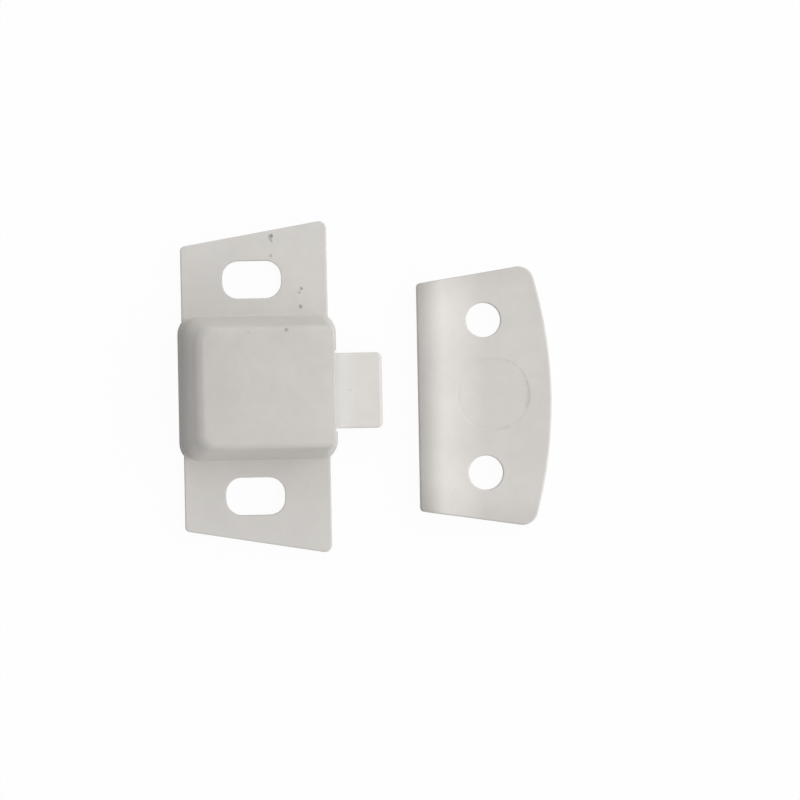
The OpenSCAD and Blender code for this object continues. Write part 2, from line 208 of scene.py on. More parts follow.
class StrikeSizes(PropertyGroup):
    """Sizes of the strike plate"""

    lip_len: length("Lip length", "Length of the lip", 28.4)
    lip_reach: length("Lip reach", "Screw line to the lip's face", STRIKE.y - STRIKE_LOW.y)
    bow_reach: length("Bow reach", "Screw line to the bowed edge", STRIKE_HIGH.y - STRIKE.y)
    bow_r: radius_of("Bow radius", "the bowed edge", 55)
    slant: angle("Slant", "Slant of the plate's two ends", 8.8)
    plate_t: length("Thickness", "Thickness of the plate", 2.0)
    nose_r: radius_of("Nose", "the lip's rounded top", 2.8)
    crest_back: length("Crest", "Lip's face to its crest", 1.8)
    sweep_r: radius_of("Sweep", "the hollow sweep up to the lip", 10)
    sweep: angle("Sweep slope", "Steepest slope of the sweep", 30)
    bow_corner_r: radius_of("Bow corners", "the bowed edge's corners", 1.9)
    lip_corner_r: radius_of("Lip corners", "the lip's corners", 0.5)
    rim_r: radius_of("Rim", "the plate's upper rim", 0.25)
    hole_spacing: length("Hole spacing", "Between the two screw holes", HOLE_DIMS["spacing_x_mm"])
    hole_r: radius_of("Hole", "the screw holes", HOLE_DIMS["hole_r_mm"])
    hole_rim_r: radius_of("Hole rim", "the rims of the screw holes", 0.2)
    hollow_wall: length("Hollow wall", "Wall round the hollows under the lip", 1.5)
    hollow_roof: length("Hollow roof", "Plastic between hollows and crest", 1.9)
    hollow_rib: length("Hollow rib", "Rib between the hollows under the lip", 1.6)
    mark_r: radius_of("Mark radius", "the round mould mark", 4.45)
    mark_y: length("Mark place", "Screw line to the mark's middle", 1.1)
    mark_x: length("Mark side", "Plate's middle to the mark's middle", -0.25)
    mark_depth: length("Mark depth", "Depth of the mark's groove", 0.018)
    mark_w: length("Mark width", "Width of the mark's groove", 0.4)


class Finish(PropertyGroup):
    """Colours and surface of the mouldings and the steel"""

    body: colour("Body", "Colour of the housing's plastic", (0.655, 0.631, 0.598))
    tongue: colour("Tongue", "Colour of the rocker's plastic", (0.725, 0.702, 0.667))
    strike: colour("Strike", "Colour of the strike plate's plastic", (0.69, 0.666, 0.632))
    # The dirt colour also paints shade: in inner corners, at the back wall's foot and at the strike plate's
    # ends
    dirt: colour("Dirt", "Colour of the dirt in specks and corners", (0.16, 0.15, 0.14))
    mottle: share("Mottle", "Drift of the plastic's colour", 0.05)
    roughness: share("Roughness", "Roughness of the plastic", 0.5)
    shine: share("Shine", "How strongly the plastic mirrors", 0.12)
    # Painted light: the flange is made paler than its lighting leaves it
    thin: share("Thin parts", "Paleness of the thin flange", 0.13)
    # Painted light: the tongue is made paler near the hood, where the hood shades it
    root: share("Tongue root", "Paleness of the tongue at the hood", 0.4)
    # Painted shade: the hood's back wall is darker towards its foot
    foot: share("Wall foot", "Grime at the foot of the hood's back wall", 0.3)
    # Painted shade: the strike plate is darker towards its two ends
    ends: share("Plate ends", "Grime at the strike plate's two ends", 0.09)
    ring: share("Mark dirt", "Dirt along the mould mark", 0.17)
    dust: share("Dust", "Darkness of the specks of dust", 0.16)
    wear: share("Wear", "Paleness of the plastic's worn edges", 0.12)
    # Painted shade: darker in the plastic's inner corners
    grime: share("Grime", "Grime in the plastic's inner corners", 0.08)
    grain: share("Grain", "Strength of the plastic's fine grain", 0.12)
    wave: share("Waviness", "Strength of the plastic's slow unevenness", 0.10)
    steel: colour("Steel", "Colour of the pin's bright steel", (0.56, 0.57, 0.58))
    zinc: colour("Zinc", "Colour of the spring's plated wire", (0.47, 0.49, 0.51))


class StageLook(PropertyGroup):
    """Floor, light and camera"""

    camera_height: length("Camera height", "Height of the camera over the flange", 700)
    view_width: length("View width", "Width of the picture at the flange", 100)
    centre_x: length("Centre across", "Middle of the picture along the catch", 1.86)
    centre_y: length("Centre along", "Middle of the picture along the tongue", 18.29)
    roll: angle("Roll", "Turn of the parts in the picture", 1.1)
    ambient: share("Room light", "Level of the light from all round", 0.87)
    slope: share("Room slope", "Extra light from the tongue's side", 0.9)
    upper_slope: share("Upper slope", "Extra light from the upper end", 0.2)
    key: share("Key light", "Level of the key light on a level face", 0.03)
    key_distance: length("Key distance", "Distance of the key light", 200)
    key_size: length("Key size", "Width of the key light", 120)
    key_lean: angle("Key lean", "Lean of the key light from upright", 32)
    key_turn: angle("Key turn", "Turn of the key light towards the upper end", 20)
    bounce: share("Bounce", "Light that the floor returns", 0.62)
    shadow: share("Shadow", "Shadow that the white floor keeps", 0.05)


class CatchSettings(PropertyGroup):
    """All sizes and finishes of the catch"""

    housing: PointerProperty(type=HousingSizes)
    rocker: PointerProperty(type=RockerSizes)
    spring: PointerProperty(type=SpringSizes)
    strike: PointerProperty(type=StrikeSizes)
    finish: PointerProperty(type=Finish)
    stage: PointerProperty(type=StageLook)


class Millimetres:
    """Reads a group's lengths in millimetres, and its other values as they are."""

    def __init__(self, group):
        self.group = group

    def __getattr__(self, name):
        value = getattr(self.group, name)
        is_length = self.group.bl_rna.properties[name].unit == "LENGTH"
        return value / MM if is_length else value


# Mesh tools

def rounded_face(bm, corners, radii):
    """Fills a level outline and rounds each of its corners."""
    verts = [bm.verts.new((x, y, 0)) for x, y in corners]
    bm.faces.new(verts)
    round_corners(bm, verts, radii)


def round_corners(bm, verts, radii):
    """Rounds corners of a level face, each to its own radius."""
    for vert, radius in zip(verts, radii):
        sides = [edge.other_vert(vert).co - vert.co for edge in vert.link_edges]
        tangent = radius / tan(sides[0].angle(sides[1]) / 2)
        bmesh.ops.bevel(
            bm, geom=[vert], offset=tangent, offset_type="OFFSET", segments=QUARTER_STEPS, profile=0.5,
            affect="VERTICES", material=-1,
        )


def round_edges(bm, edges, radius, steps=4):
    """Rounds edges, or chamfers them in one step."""
    bmesh.ops.bevel(
        bm, geom=edges, offset=radius, offset_type="OFFSET", segments=steps, profile=0.5,
        affect="EDGES", material=-1, loop_slide=True,
    )


def rectangle(half, back, front):
    """The corners of a level rectangle, in order."""
    return [(-half, back), (half, back), (half, front), (-half, front)]


def extruded(bm, way):
    """Extrudes an outline into a solid, and gives its far points."""
    made = bmesh.ops.extrude_face_region(bm, geom=bm.faces[:])["geom"]
    far = [item for item in made if isinstance(item, bmesh.types.BMVert)]
    bmesh.ops.translate(bm, verts=far, vec=way)
    bmesh.ops.recalc_face_normals(bm, faces=bm.faces)
    return far


def edges_among(bm, verts):
    """The edges between some points."""
    chosen = set(verts)
    return [edge for edge in bm.edges if chosen.issuperset(edge.verts)]


def slice_along_y(bm, places, faces=None):
    """Cuts new edges at places along Y, through all faces or some of them."""
    for place in places:
        cut = bm.faces[:] if faces is None else [face for face in faces if face.is_valid]
        edges = {edge for face in cut for edge in face.edges}
        verts = {vert for face in cut for vert in face.verts}
        made = bmesh.ops.bisect_plane(
            bm, geom=[*verts, *edges, *cut], dist=WELD, plane_co=(0, place, 0), plane_no=(0, 1, 0)
        )
        if faces is not None:
            faces = [item for item in made["geom"] if isinstance(item, bmesh.types.BMFace)]


def spread(start, end, steps):
    """Evenly spaced values between two ends."""
    return [start + (end - start) * i / steps for i in range(1, steps)]


def box(low, high):
    """A block between two corners."""
    bm = bmesh.new()
    low, high = Vector(low), Vector(high)
    size = Matrix.Diagonal((high - low).to_4d())
    bmesh.ops.create_cube(bm, size=1, matrix=Matrix.Translation((low + high) / 2) @ size)
    return bm


def rod(start, end, radius, sides=ROUND_SIDES):
    """A round rod from one point to another."""
    bm = bmesh.new()
    start, end = Vector(start), Vector(end)
    turn = (end - start).to_track_quat("Z", "Y").to_matrix().to_4x4()
    bmesh.ops.create_cone(
        bm, cap_ends=True, segments=sides, radius1=radius, radius2=radius,
        depth=(end - start).length, matrix=Matrix.Translation((start + end) / 2) @ turn,
    )
    return bm


def pivot_rod(low, high, radius):
    """A rod on the pivot's axis, between two places along X."""
    return rod((low, PIVOT.y, PIVOT.z), (high, PIVOT.y, PIVOT.z), radius)


def peg(foot, direction, radius, reach, chamfer):
    """A peg with a chamfered tip, let into what carries it."""
    bm = rod(foot - direction * LET_IN, foot + direction * reach, radius, sides=32)
    tip = [v for v in bm.verts if (v.co - foot).dot(direction) > reach - WELD]
    round_edges(bm, edges_among(bm, tip), chamfer, steps=1)
    return bm


def added(name, data):
    """A new object in the scene."""
    made = bpy.data.objects.new(name, data)
    bpy.context.scene.collection.objects.link(made)
    return made


def as_object(bm, name="shape"):
    """A mesh as an object in the scene."""
    mesh = bpy.data.meshes.new(name)
    bm.to_mesh(mesh)
    bm.free()
    return added(name, mesh)


def modified(shape):
    """An object's mesh with its modifiers applied. The object goes."""
    bpy.context.view_layer.update()
    result = bmesh.new()
    result.from_object(shape, bpy.context.evaluated_depsgraph_get())
    bpy.data.meshes.remove(shape.data)
    bmesh.ops.remove_doubles(result, verts=result.verts, dist=WELD)
    bmesh.ops.recalc_face_normals(result, faces=result.faces)
    return result


def combined(body, operation, *tools):
    """Joins solids to a body, cuts them out of it or keeps what they share."""
    shape = as_object(body)
    cutters = [as_object(tool) for tool in tools]
    for cutter in cutters:
        modifier = shape.modifiers.new("combine", "BOOLEAN")
        modifier.operation = operation
        modifier.solver = "EXACT"
        modifier.object = cutter
    result = modified(shape)
    for cutter in cutters:
        bpy.data.meshes.remove(cutter.data)
    return result


def round_each(bm, radius_for):
    """Rounds each edge to the radius that a function gives for it."""
    weight = bm.edges.layers.float.new("bevel_weight_edge")
    radii = {edge: radius_for(edge) for edge in bm.edges}
    widest = max(radii.values())
    for edge, radius in radii.items():
        edge[weight] = radius / widest
    shape = as_object(bm)
    modifier = shape.modifiers.new("round", "BEVEL")
    modifier.limit_method = "WEIGHT"
    modifier.width = widest
    modifier.segments = 6
    modifier.use_clamp_overlap = False
    return modified(shape)


def finished_piece(bm, name, node, body, material):
    """Brings a mesh to metres, and sets it in place of its CAD node."""
    bmesh.ops.dissolve_degenerate(bm, dist=WELD, edges=bm.edges)
    loose = [edge for edge in bm.edges if not edge.is_manifold]
    if loose:
        raise RuntimeError(f"{name} is not closed: {len(loose)} open edges")
    bmesh.ops.recalc_face_normals(bm, faces=bm.faces)
    bmesh.ops.scale(bm, vec=(MM, MM, MM), verts=bm.verts)
    piece = as_object(bm, name)
    piece.data.shade_smooth()
    piece.data.set_sharp_from_angle(angle=SMOOTH_BELOW)
    piece.data.materials.append(material)
    normals = piece.modifiers.new("flat faces stay flat", "WEIGHTED_NORMAL")
    normals.keep_sharp = True
    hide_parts(node)
    if body:
        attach(piece, body)
    return piece


# Housing

def hood_walls(s, z, inset=0.0):
    """Half length, back and front of the hood at a height, moved in by an inset."""
    end = s.hood_len / 2 - z * tan(s.end_draft) - inset / cos(s.end_draft)
    back = -s.hood_back + z * tan(s.back_slope) + inset / cos(s.back_slope)
    front = s.hood_front - z * tan(s.front_draft) - inset / cos(s.front_draft)
    return end, back, front


def leaning_block(s, levels):
    """A block that follows the hood's walls and upright corners at some heights, each with its inset."""
    bm = bmesh.new()
    rings = []
    for z, inset in levels:
        corners = [bm.verts.new((x, y, z)) for x, y in rectangle(*hood_walls(s, z, inset))]
        bm.faces.new(corners)
        back_r, front_r = (
            max(s.corner_r + (roof_r - s.corner_r) * z / s.hood_h - inset, s.inner_corner_r)
            for roof_r in (s.roof_back_r, s.roof_front_r)
        )
        round_corners(bm, corners, [back_r, back_r, front_r, front_r])
        rings.append([edge for edge in bm.edges if is_level(edge, z)])
    low, high = levels[0][0] + WELD, levels[-1][0] - WELD
    between = [face for face in bm.faces if low < face.calc_center_median().z < high]
    bmesh.ops.delete(bm, geom=between, context="FACES_ONLY")
    for lower, upper in zip(rings, rings[1:]):
        bmesh.ops.bridge_loops(bm, edges=lower + upper)
    bmesh.ops.recalc_face_normals(bm, faces=bm.faces)
    return bm


def foot_fillet(s):
    """The fillet round the hood's foot: a flared skirt, cut off at the flange's long edges."""
    levels = [(s.flange_t / 2, -s.foot_r)]
    for turn in [0, *spread(0, pi / 2, QUARTER_STEPS), pi / 2]:
        flare = s.foot_r * (1 - sin(turn)) - FLUSH
        levels.append((s.flange_t + s.foot_r * (1 - cos(turn)), -flare))
    between = box((-s.hood_len, -s.flange_back, 0), (s.hood_len, s.flange_front, s.hood_h))
    return combined(leaning_block(s, levels), "INTERSECT", between)


def crowned_roof(s, bm):
    """Rounds the roof's rim, most at the back, and lets the roof fall to back and front."""
    def rim_radius(edge):
        if not is_level(edge, s.hood_h):
            return 0
        facing = min(edge.link_faces, key=lambda face: face.normal.z).normal.y
        side_r = s.back_edge_r if facing < 0 else s.front_edge_r
        return s.end_edge_r + (side_r - s.end_edge_r) * abs(facing)

    bm = round_each(bm, rim_radius)
    underside = s.hood_h - s.wall_t + WELD
    skin = [face for face in bm.faces if all(vert.co.z > underside for vert in face.verts)]
    back, front = hood_walls(s, s.hood_h)[1:]
    slice_along_y(bm, spread(back, front, steps=16), skin)
    ridge = (back + front) / 2
    crown_r = (front - back) / 2 / sin(s.crown_fall)
    for vert in bm.verts:
        if vert.co.z > underside:
            vert.co.z *= 1 - (vert.co.y - ridge) ** 2 / (2 * crown_r * s.hood_h)
    return bm


def flange_plate(s):
    """The flange: one plate from end to end, with slanted ends."""
    bm = bmesh.new()
    half = s.flange_len / 2
    back_half = half - (s.flange_front + s.flange_back) * tan(s.flange_slant)
    back, front = -s.flange_back, s.flange_front
    corners = [(-back_half, back), (back_half, back), (half, front), (-half, front)]
    rounded_face(bm, corners, [s.flange_back_r, s.flange_back_r, s.flange_front_r, s.flange_front_r])
    rim = edges_among(bm, extruded(bm, (0, 0, s.flange_t)))
    round_edges(bm, rim, s.rim_r, steps=3)
    return bm


def screw_slot(s, side):
    """A cutter for one screw slot, well rounded."""
    bm = bmesh.new()
    rounded_face(bm, rectangle(s.slot_w / 2, -s.slot_len / 2, s.slot_len / 2), [s.slot_r] * 4)
    extruded(bm, (0, 0, s.flange_t + 2 * PAST))
    bmesh.ops.translate(bm, verts=bm.verts, vec=(side * s.slot_spacing / 2, 0, -PAST))
    return bm


def pin_mouth(s):
    """A cutter for the mouths that the pin snaps in through."""
    foot = PIVOT.z - s.saddle_drop
    low, high = foot - s.mouth_h, foot + s.mouth_h
    flare, neck = s.mouth_w / 2 + s.mouth_h, s.mouth_neck / 2
    profile = [
        (-flare, low), (flare, low), (neck, high), (neck, PIVOT.z), (-neck, PIVOT.z), (-neck, high)
    ]
    bm = bmesh.new()
    half = hood_walls(s, PIVOT.z, s.wall_t)[0]
    bm.faces.new([bm.verts.new((-half, PIVOT.y + y, z)) for y, z in profile])
    extruded(bm, (2 * half, 0, 0))
    return bm


def is_level(edge, z):
    """Whether an edge lies at a height."""
    return all(abs(vert.co.z - z) < WELD for vert in edge.verts)


def housing_inside(s, bm):
    """Hollows the hood out from below, and adds the pin's saddles and the spring's seat."""
    roof = s.hood_h - s.wall_t
    bay_low, bay_high = ROCKER_MIDDLE - s.bay_w / 2, ROCKER_MIDDLE + s.bay_w / 2
    cavity = leaning_block(s, [(-PAST, s.wall_t), (roof, s.wall_t)])
    window = box((bay_low, PIVOT.y, -PAST), (bay_high, s.hood_front + PAST, roof))
    bm = combined(bm, "DIFFERENCE", cavity)
    bm = combined(bm, "DIFFERENCE", window)

    saddle_low = (PIVOT.y - s.saddle_half, PIVOT.z - s.saddle_drop)
    saddles = [
        box((-s.hood_len / 2, *saddle_low), (bay_low, s.hood_front, s.hood_h)),
        box((bay_high, *saddle_low), (s.hood_len / 2, s.hood_front, s.hood_h)),
    ]
    face = Vector((0, SPRING_LOW.y, PIVOT.z))
    ribs = combined(rod((0, -s.hood_back, PIVOT.z), face, s.seat_r), "UNION", *saddles)
    half_wall = s.wall_t / 2
    let_in = leaning_block(s, [(0, half_wall), (roof + half_wall, half_wall)])
    bm = combined(bm, "UNION", combined(ribs, "INTERSECT", let_in))
    bm = combined(bm, "UNION", peg(face, Vector((0, 1, 0)), s.peg_r, s.peg_len, s.peg_chamfer))
    half = hood_walls(s, PIVOT.z, s.wall_t)[0]
    bm = combined(bm, "DIFFERENCE", pin_mouth(s))
    return combined(bm, "DIFFERENCE", pivot_rod(-half, half, s.pin_d / 2))


def housing_mesh(s):
    """The housing: hood and flange in one moulding, hollow below."""
    hood = leaning_block(s, [(0, 0), (s.hood_h, 0)])
    bm = combined(hood, "UNION", flange_plate(s), foot_fillet(s))
    bm = combined(bm, "DIFFERENCE", screw_slot(s, -1), screw_slot(s, 1))
    bm = housing_inside(s, bm)
    slots = [e for e in bm.edges if is_level(e, s.flange_t) and e.calc_face_angle_signed() > RIM_TURN]
    round_edges(bm, slots, s.slot_rim_r, steps=2)
    return crowned_roof(s, bm)


# Rocker

def rocker_half_height(s, heel_half, y):
    """Half the rocker's height at a place along Y: heel, hub, tongue and rounded nose."""
    tongue = s.root_t / 2 + (s.nose_t - s.root_t) / 2 * max(y - PIVOT.y, 0) / (s.tip - PIVOT.y)
    past_flat = max(y - (s.tip - s.edge_r), 0)
    tongue -= s.edge_r - sqrt(max(s.edge_r ** 2 - past_flat ** 2, 0))
    hub = sqrt(max(s.hub_r ** 2 - (y - PIVOT.y) ** 2, 0))
    heel = heel_half if y < PIVOT.y else 0
    return max(tongue, hub, heel)


def rocker_mesh(s, peg_r, peg_chamfer):
    """The rocker: a plate drawn to its height, bored for the pin, with a peg on its heel."""
    heel_y = PIVOT.y - s.heel_len
    heel_half = PIVOT.z - ROCKER_LOW.z
    half = s.width / 2
    bm = bmesh.new()
    rounded_face(bm, rectangle(half, heel_y, s.tip), [s.rim_r, s.rim_r, s.corner_r, s.corner_r])
    # One millimetre up and down, for the half height at each place to draw out
    extruded(bm, (0, 0, 2))
    bmesh.ops.translate(bm, verts=bm.verts, vec=(0, 0, -1))
    rims = [edge for edge in bm.edges if abs(edge.verts[0].co.z - edge.verts[1].co.z) < WELD]
    round_edges(bm, rims, s.rim_r)
    nose_y = s.tip - s.edge_r
    quarter = spread(0, pi / 2, QUARTER_STEPS)
    slice_along_y(bm, [nose_y] + [nose_y + s.edge_r * sin(a) for a in quarter])
    slice_along_y(bm, [PIVOT.y] + [PIVOT.y + s.hub_r * sin(a) for a in quarter])
    for vert in bm.verts:
        vert.co.z *= rocker_half_height(s, heel_half, vert.co.y)
    bmesh.ops.translate(bm, verts=bm.verts, vec=(ROCKER_MIDDLE, 0, PIVOT.z))
    foot = Vector((0, heel_y, PIVOT.z))
    bm = combined(bm, "UNION", peg(foot, Vector((0, -1, 0)), peg_r, s.peg_len, peg_chamfer))
    reach = half + PAST
    bore = pivot_rod(ROCKER_MIDDLE - reach, ROCKER_MIDDLE + reach, s.bore_r)
    return combined(bm, "DIFFERENCE", bore)


# Pin and spring

def pin_mesh(s):
    """The pivot pin: a rod with chamfered ends."""
    bm = pivot_rod(PIN_LOW.x, PIN_HIGH.x, (PIN_HIGH.z - PIN_LOW.z) / 2)
    ends = [e for e in bm.edges if abs(e.verts[0].co.x - e.verts[1].co.x) < WELD]
    round_edges(bm, ends, s.pin_chamfer, steps=2)
    return bm


def spring_mesh(s):
    """The return spring: a wire section spun up its axis, with closed ends."""
    bm = bmesh.new()
    start = SPRING_LOW.y + s.wire_d / 2
    rise = SPRING_HIGH.y - SPRING_LOW.y - s.wire_d
    closed_pitch = s.wire_d * CLOSED_PITCH
    open_pitch = (rise - 2 * s.closed * closed_pitch) / s.turns
    section = Matrix.Translation((s.coil_r, start, 0))
    geom = bmesh.ops.create_circle(bm, segments=14, radius=s.wire_d / 2, matrix=section)["verts"]
    ring = geom + edges_among(bm, geom)
    for turns, pitch in ((s.closed, closed_pitch), (s.turns, open_pitch), (s.closed, closed_pitch)):
        steps = round(turns * s.rings)
        spun = bmesh.ops.spin(
            bm, geom=ring, cent=(0, 0, 0), axis=(0, 1, 0), dvec=(0, turns * pitch / steps, 0),
            angle=turns * 2 * pi, steps=steps,
        )
        ring = spun["geom_last"]
    bmesh.ops.holes_fill(bm, edges=[e for e in bm.edges if e.is_boundary], sides=0)
    bmesh.ops.translate(bm, verts=bm.verts, vec=(0, 0, PIVOT.z))
    return bm


# Strike plate

def lip_places(s):
    """From the screw line to the lip's crest, the sweep's upper end and the sweep's foot."""
    crest = s.crest_back - s.lip_reach
    return crest, crest + s.nose_r * sin(s.sweep), crest + (s.sweep_r + s.nose_r) * sin(s.sweep)


def lip_top(s):
    """Height of the lip's crest."""
    return s.plate_t + (s.sweep_r + s.nose_r) * (1 - cos(s.sweep))


def strike_height(s, y):
    """Height of the upper face at a place from the screw line: flat, sweep and rounded lip."""
    crest, blend, foot = lip_places(s)
    if y >= foot:
        return s.plate_t
    if y >= blend:
        return s.plate_t + s.sweep_r - sqrt(s.sweep_r ** 2 - (foot - y) ** 2)
    return lip_top(s) - s.nose_r + sqrt(s.nose_r ** 2 - (y - crest) ** 2)


def strike_outline(s):
    """The outline about the screw line: a straight lip, slanted ends and a bowed edge."""
    bm = bmesh.new()
    lip_half = s.lip_len / 2
    middle = Vector((0, s.bow_reach - s.bow_r))
    foot = Vector((lip_half, -s.lip_reach))
    far = foot + Vector((tan(s.slant), 1)) * 2 * s.bow_r
    bow_end = next(p for p in intersect_line_sphere_2d(foot, far, middle, s.bow_r) if p is not None)
    turn = (bow_end - middle).angle(Vector((0, 1)))
    lip = [bm.verts.new((x, -s.lip_reach, 0)) for x in (-lip_half, lip_half)]
    first = bm.verts.new(bow_end.to_3d())
    spun = bmesh.ops.spin(bm, geom=[first], cent=middle.to_3d(), axis=(0, 0, 1), angle=2 * turn, steps=14)
    last = next(item for item in spun["geom_last"] if isinstance(item, bmesh.types.BMVert))
    for pair in ((last, lip[0]), lip, (lip[1], first)):
        bm.edges.new(pair)
    bmesh.ops.contextual_create(bm, geom=bm.edges[:])
    round_corners(bm, [*lip, first, last], [s.lip_corner_r] * 2 + [s.bow_corner_r] * 2)
    return bm


def mould_mark(s):
    """A cutter for the mould's fine round mark, which follows the plate's upper face."""
    bm = bmesh.new()
    bead_r = (s.mark_depth ** 2 + (s.mark_w / 2) ** 2) / (2 * s.mark_depth)
    lift = bead_r - s.mark_depth
    section = Matrix.Translation((s.mark_r, 0, 0)) @ Matrix.Rotation(pi / 2, 4, "X")
    geom = bmesh.ops.create_circle(bm, segments=ROUND_SIDES, radius=bead_r, matrix=section)["verts"]
    bmesh.ops.spin(
        bm, geom=geom + edges_among(bm, geom), cent=(0, 0, 0), axis=(0, 0, 1),
        angle=2 * pi, steps=96, use_merge=True,
    )
    bmesh.ops.recalc_face_normals(bm, faces=bm.faces)
    for vert in bm.verts:
        vert.co += Vector((s.mark_x, s.mark_y, lift))
        vert.co.z += strike_height(s, vert.co.y)
    return bm


def strike_mesh(s):
    """The strike plate: a flat plate with rims and screw holes, drawn up into its lip and cored below it."""
    bm = strike_outline(s)
    round_edges(bm, edges_among(bm, extruded(bm, (0, 0, s.plate_t))), s.rim_r)
    holes = []
    for side in (-1, 1):
        x = side * s.hole_spacing / 2
        holes.append(rod((x, 0, -PAST), (x, 0, s.plate_t + PAST), s.hole_r))
    bm = combined(bm, "DIFFERENCE", *holes)
    rims = [edge for edge in bm.edges if is_level(edge, s.plate_t) and edge.calc_face_angle() > RIM_TURN]
    round_edges(bm, rims, s.hole_rim_r, steps=3)
    crest, blend, foot = lip_places(s)
    face_turn = -asin(s.crest_back / s.nose_r)
    slice_along_y(bm, [foot, blend] + spread(blend, foot, steps=14))
    nose_turns = spread(s.sweep, face_turn, steps=12)
    slice_along_y(bm, [crest + s.nose_r * sin(turn) for turn in nose_turns])
    for vert in bm.verts:
        vert.co.z *= strike_height(s, vert.co.y) / s.plate_t
    back = s.hollow_wall - s.lip_reach
    front = back + 2 * s.crest_back - s.hollow_wall
    depth = lip_top(s) - s.hollow_roof
    near, far = s.hollow_rib / 2, s.lip_len / 2 - 2 * s.hollow_wall
    low_hollow = box((-far, back, -depth), (-near, front, depth))
    high_hollow = box((near, back, -depth), (far, front, depth))
    bm = combined(bm, "DIFFERENCE", low_hollow, high_hollow, mould_mark(s))
    bmesh.ops.translate(bm, verts=bm.verts, vec=STRIKE)
    return bm


# Materials

WHITE = (1.0, 1.0, 1.0)
# Millimetres between specks of dust, and along the strike plate's ends that take painted shade
DUST_SPACING = 2.6
SHADED_END = 4.0
# Heights in millimetres between which the dirt on upper faces comes in
UPPER_FACES = (0.4, 1.2)
# Share of a dirt mark that is wholly dark, and its reach up and down in millimetres
MARK_CORE = 0.35
MARK_REACH = 100.0
# Share of the slow drift in the mottled colour
DRIFT_SHARE = 0.65
# How far roughness changes with clouds, dirt and painted shade, drawn lines and tarnish
CLOUD_ROUGH = 0.16
DIRT_AND_SHADE_ROUGH = 0.25
LINE_ROUGH = 0.25
TARNISH_ROUGH = 0.1
# How many times the lines in drawn steel are stretched
DRAWN_OUT = 20
# Dirt marks on the housing, in millimetres: place, half sizes, turn in degrees, darkness
DIRT_MARKS = [
    (-18.62, 2.45, 0.8, 0.24, 24, 0.4),
    (-18.95, 2.6, 0.36, 0.28, 24, 0.75),
    (-16.49, 2.48, 0.3, 0.27, 0, 0.4),
    (-12.31, 6.23, 0.33, 0.28, 30, 0.5),
    (-11.82, 5.98, 0.27, 0.24, 0, 0.35),
    (-10.07, 6.08, 0.36, 0.32, 0, 0.55),
    (-7.09, 4.41, 0.33, 0.36, 0, 0.45),
]


class Wire:
    """A shader socket that takes part in Python sums: each sum adds its Math node."""

    def __init__(self, shader, socket):
        self.shader = shader
        self.socket = socket

    def maths(self, operation, *values):
        return self.shader.node("ShaderNodeMath", {"operation": operation}, dict(enumerate(values)))

    def __add__(self, other):
        return self.maths("ADD", self, other)

    __radd__ = __add__

    def __sub__(self, other):
        return self.maths("SUBTRACT", self, other)

    def __rsub__(self, other):
        return self.maths("SUBTRACT", other, self)

    def __mul__(self, other):
        return self.maths("MULTIPLY", self, other)

    __rmul__ = __mul__

    def most(self, other):
        return self.maths("MAXIMUM", self, other)

    def size(self):
        return self.maths("ABSOLUTE", self)

    def fade(self, start, end, least=0.0):
        """A least share at start and 1 at end, smooth between."""
        ends = {"Value": self, "From Min": start, "From Max": end, "To Min": least}
        return self.shader.node("ShaderNodeMapRange", {"interpolation_type": "SMOOTHSTEP"}, ends)


class Shader:
    """The nodes of a material or a world."""

    def __init__(self, owner):
        owner.use_nodes = True
        self.owner = owner
        self.tree = owner.node_tree
        self.tree.nodes.clear()

    def node(self, kind, settings=None, inputs=None, output=0):
        """Adds a node: its settings first, then the values or links of its sockets."""
        made = self.tree.nodes.new(kind)
        for name, value in (settings or {}).items():
            setattr(made, name, value)
        for name, value in (inputs or {}).items():
            if isinstance(value, Wire):
                self.tree.links.new(value.socket, made.inputs[name])
            else:
                made.inputs[name].default_value = value
        return Wire(self, made.outputs[output]) if len(made.outputs) else made

    def vector(self, operation, *vectors, output="Value"):
        """A sum on vectors."""
        return self.node("ShaderNodeVectorMath", {"operation": operation}, dict(enumerate(vectors)), output)

    def mixed(self, amount, first, second):
        """One colour over another."""
        return self.node("ShaderNodeMix", {"data_type": "RGBA"}, {0: amount, 6: first, 7: second}, output=2)


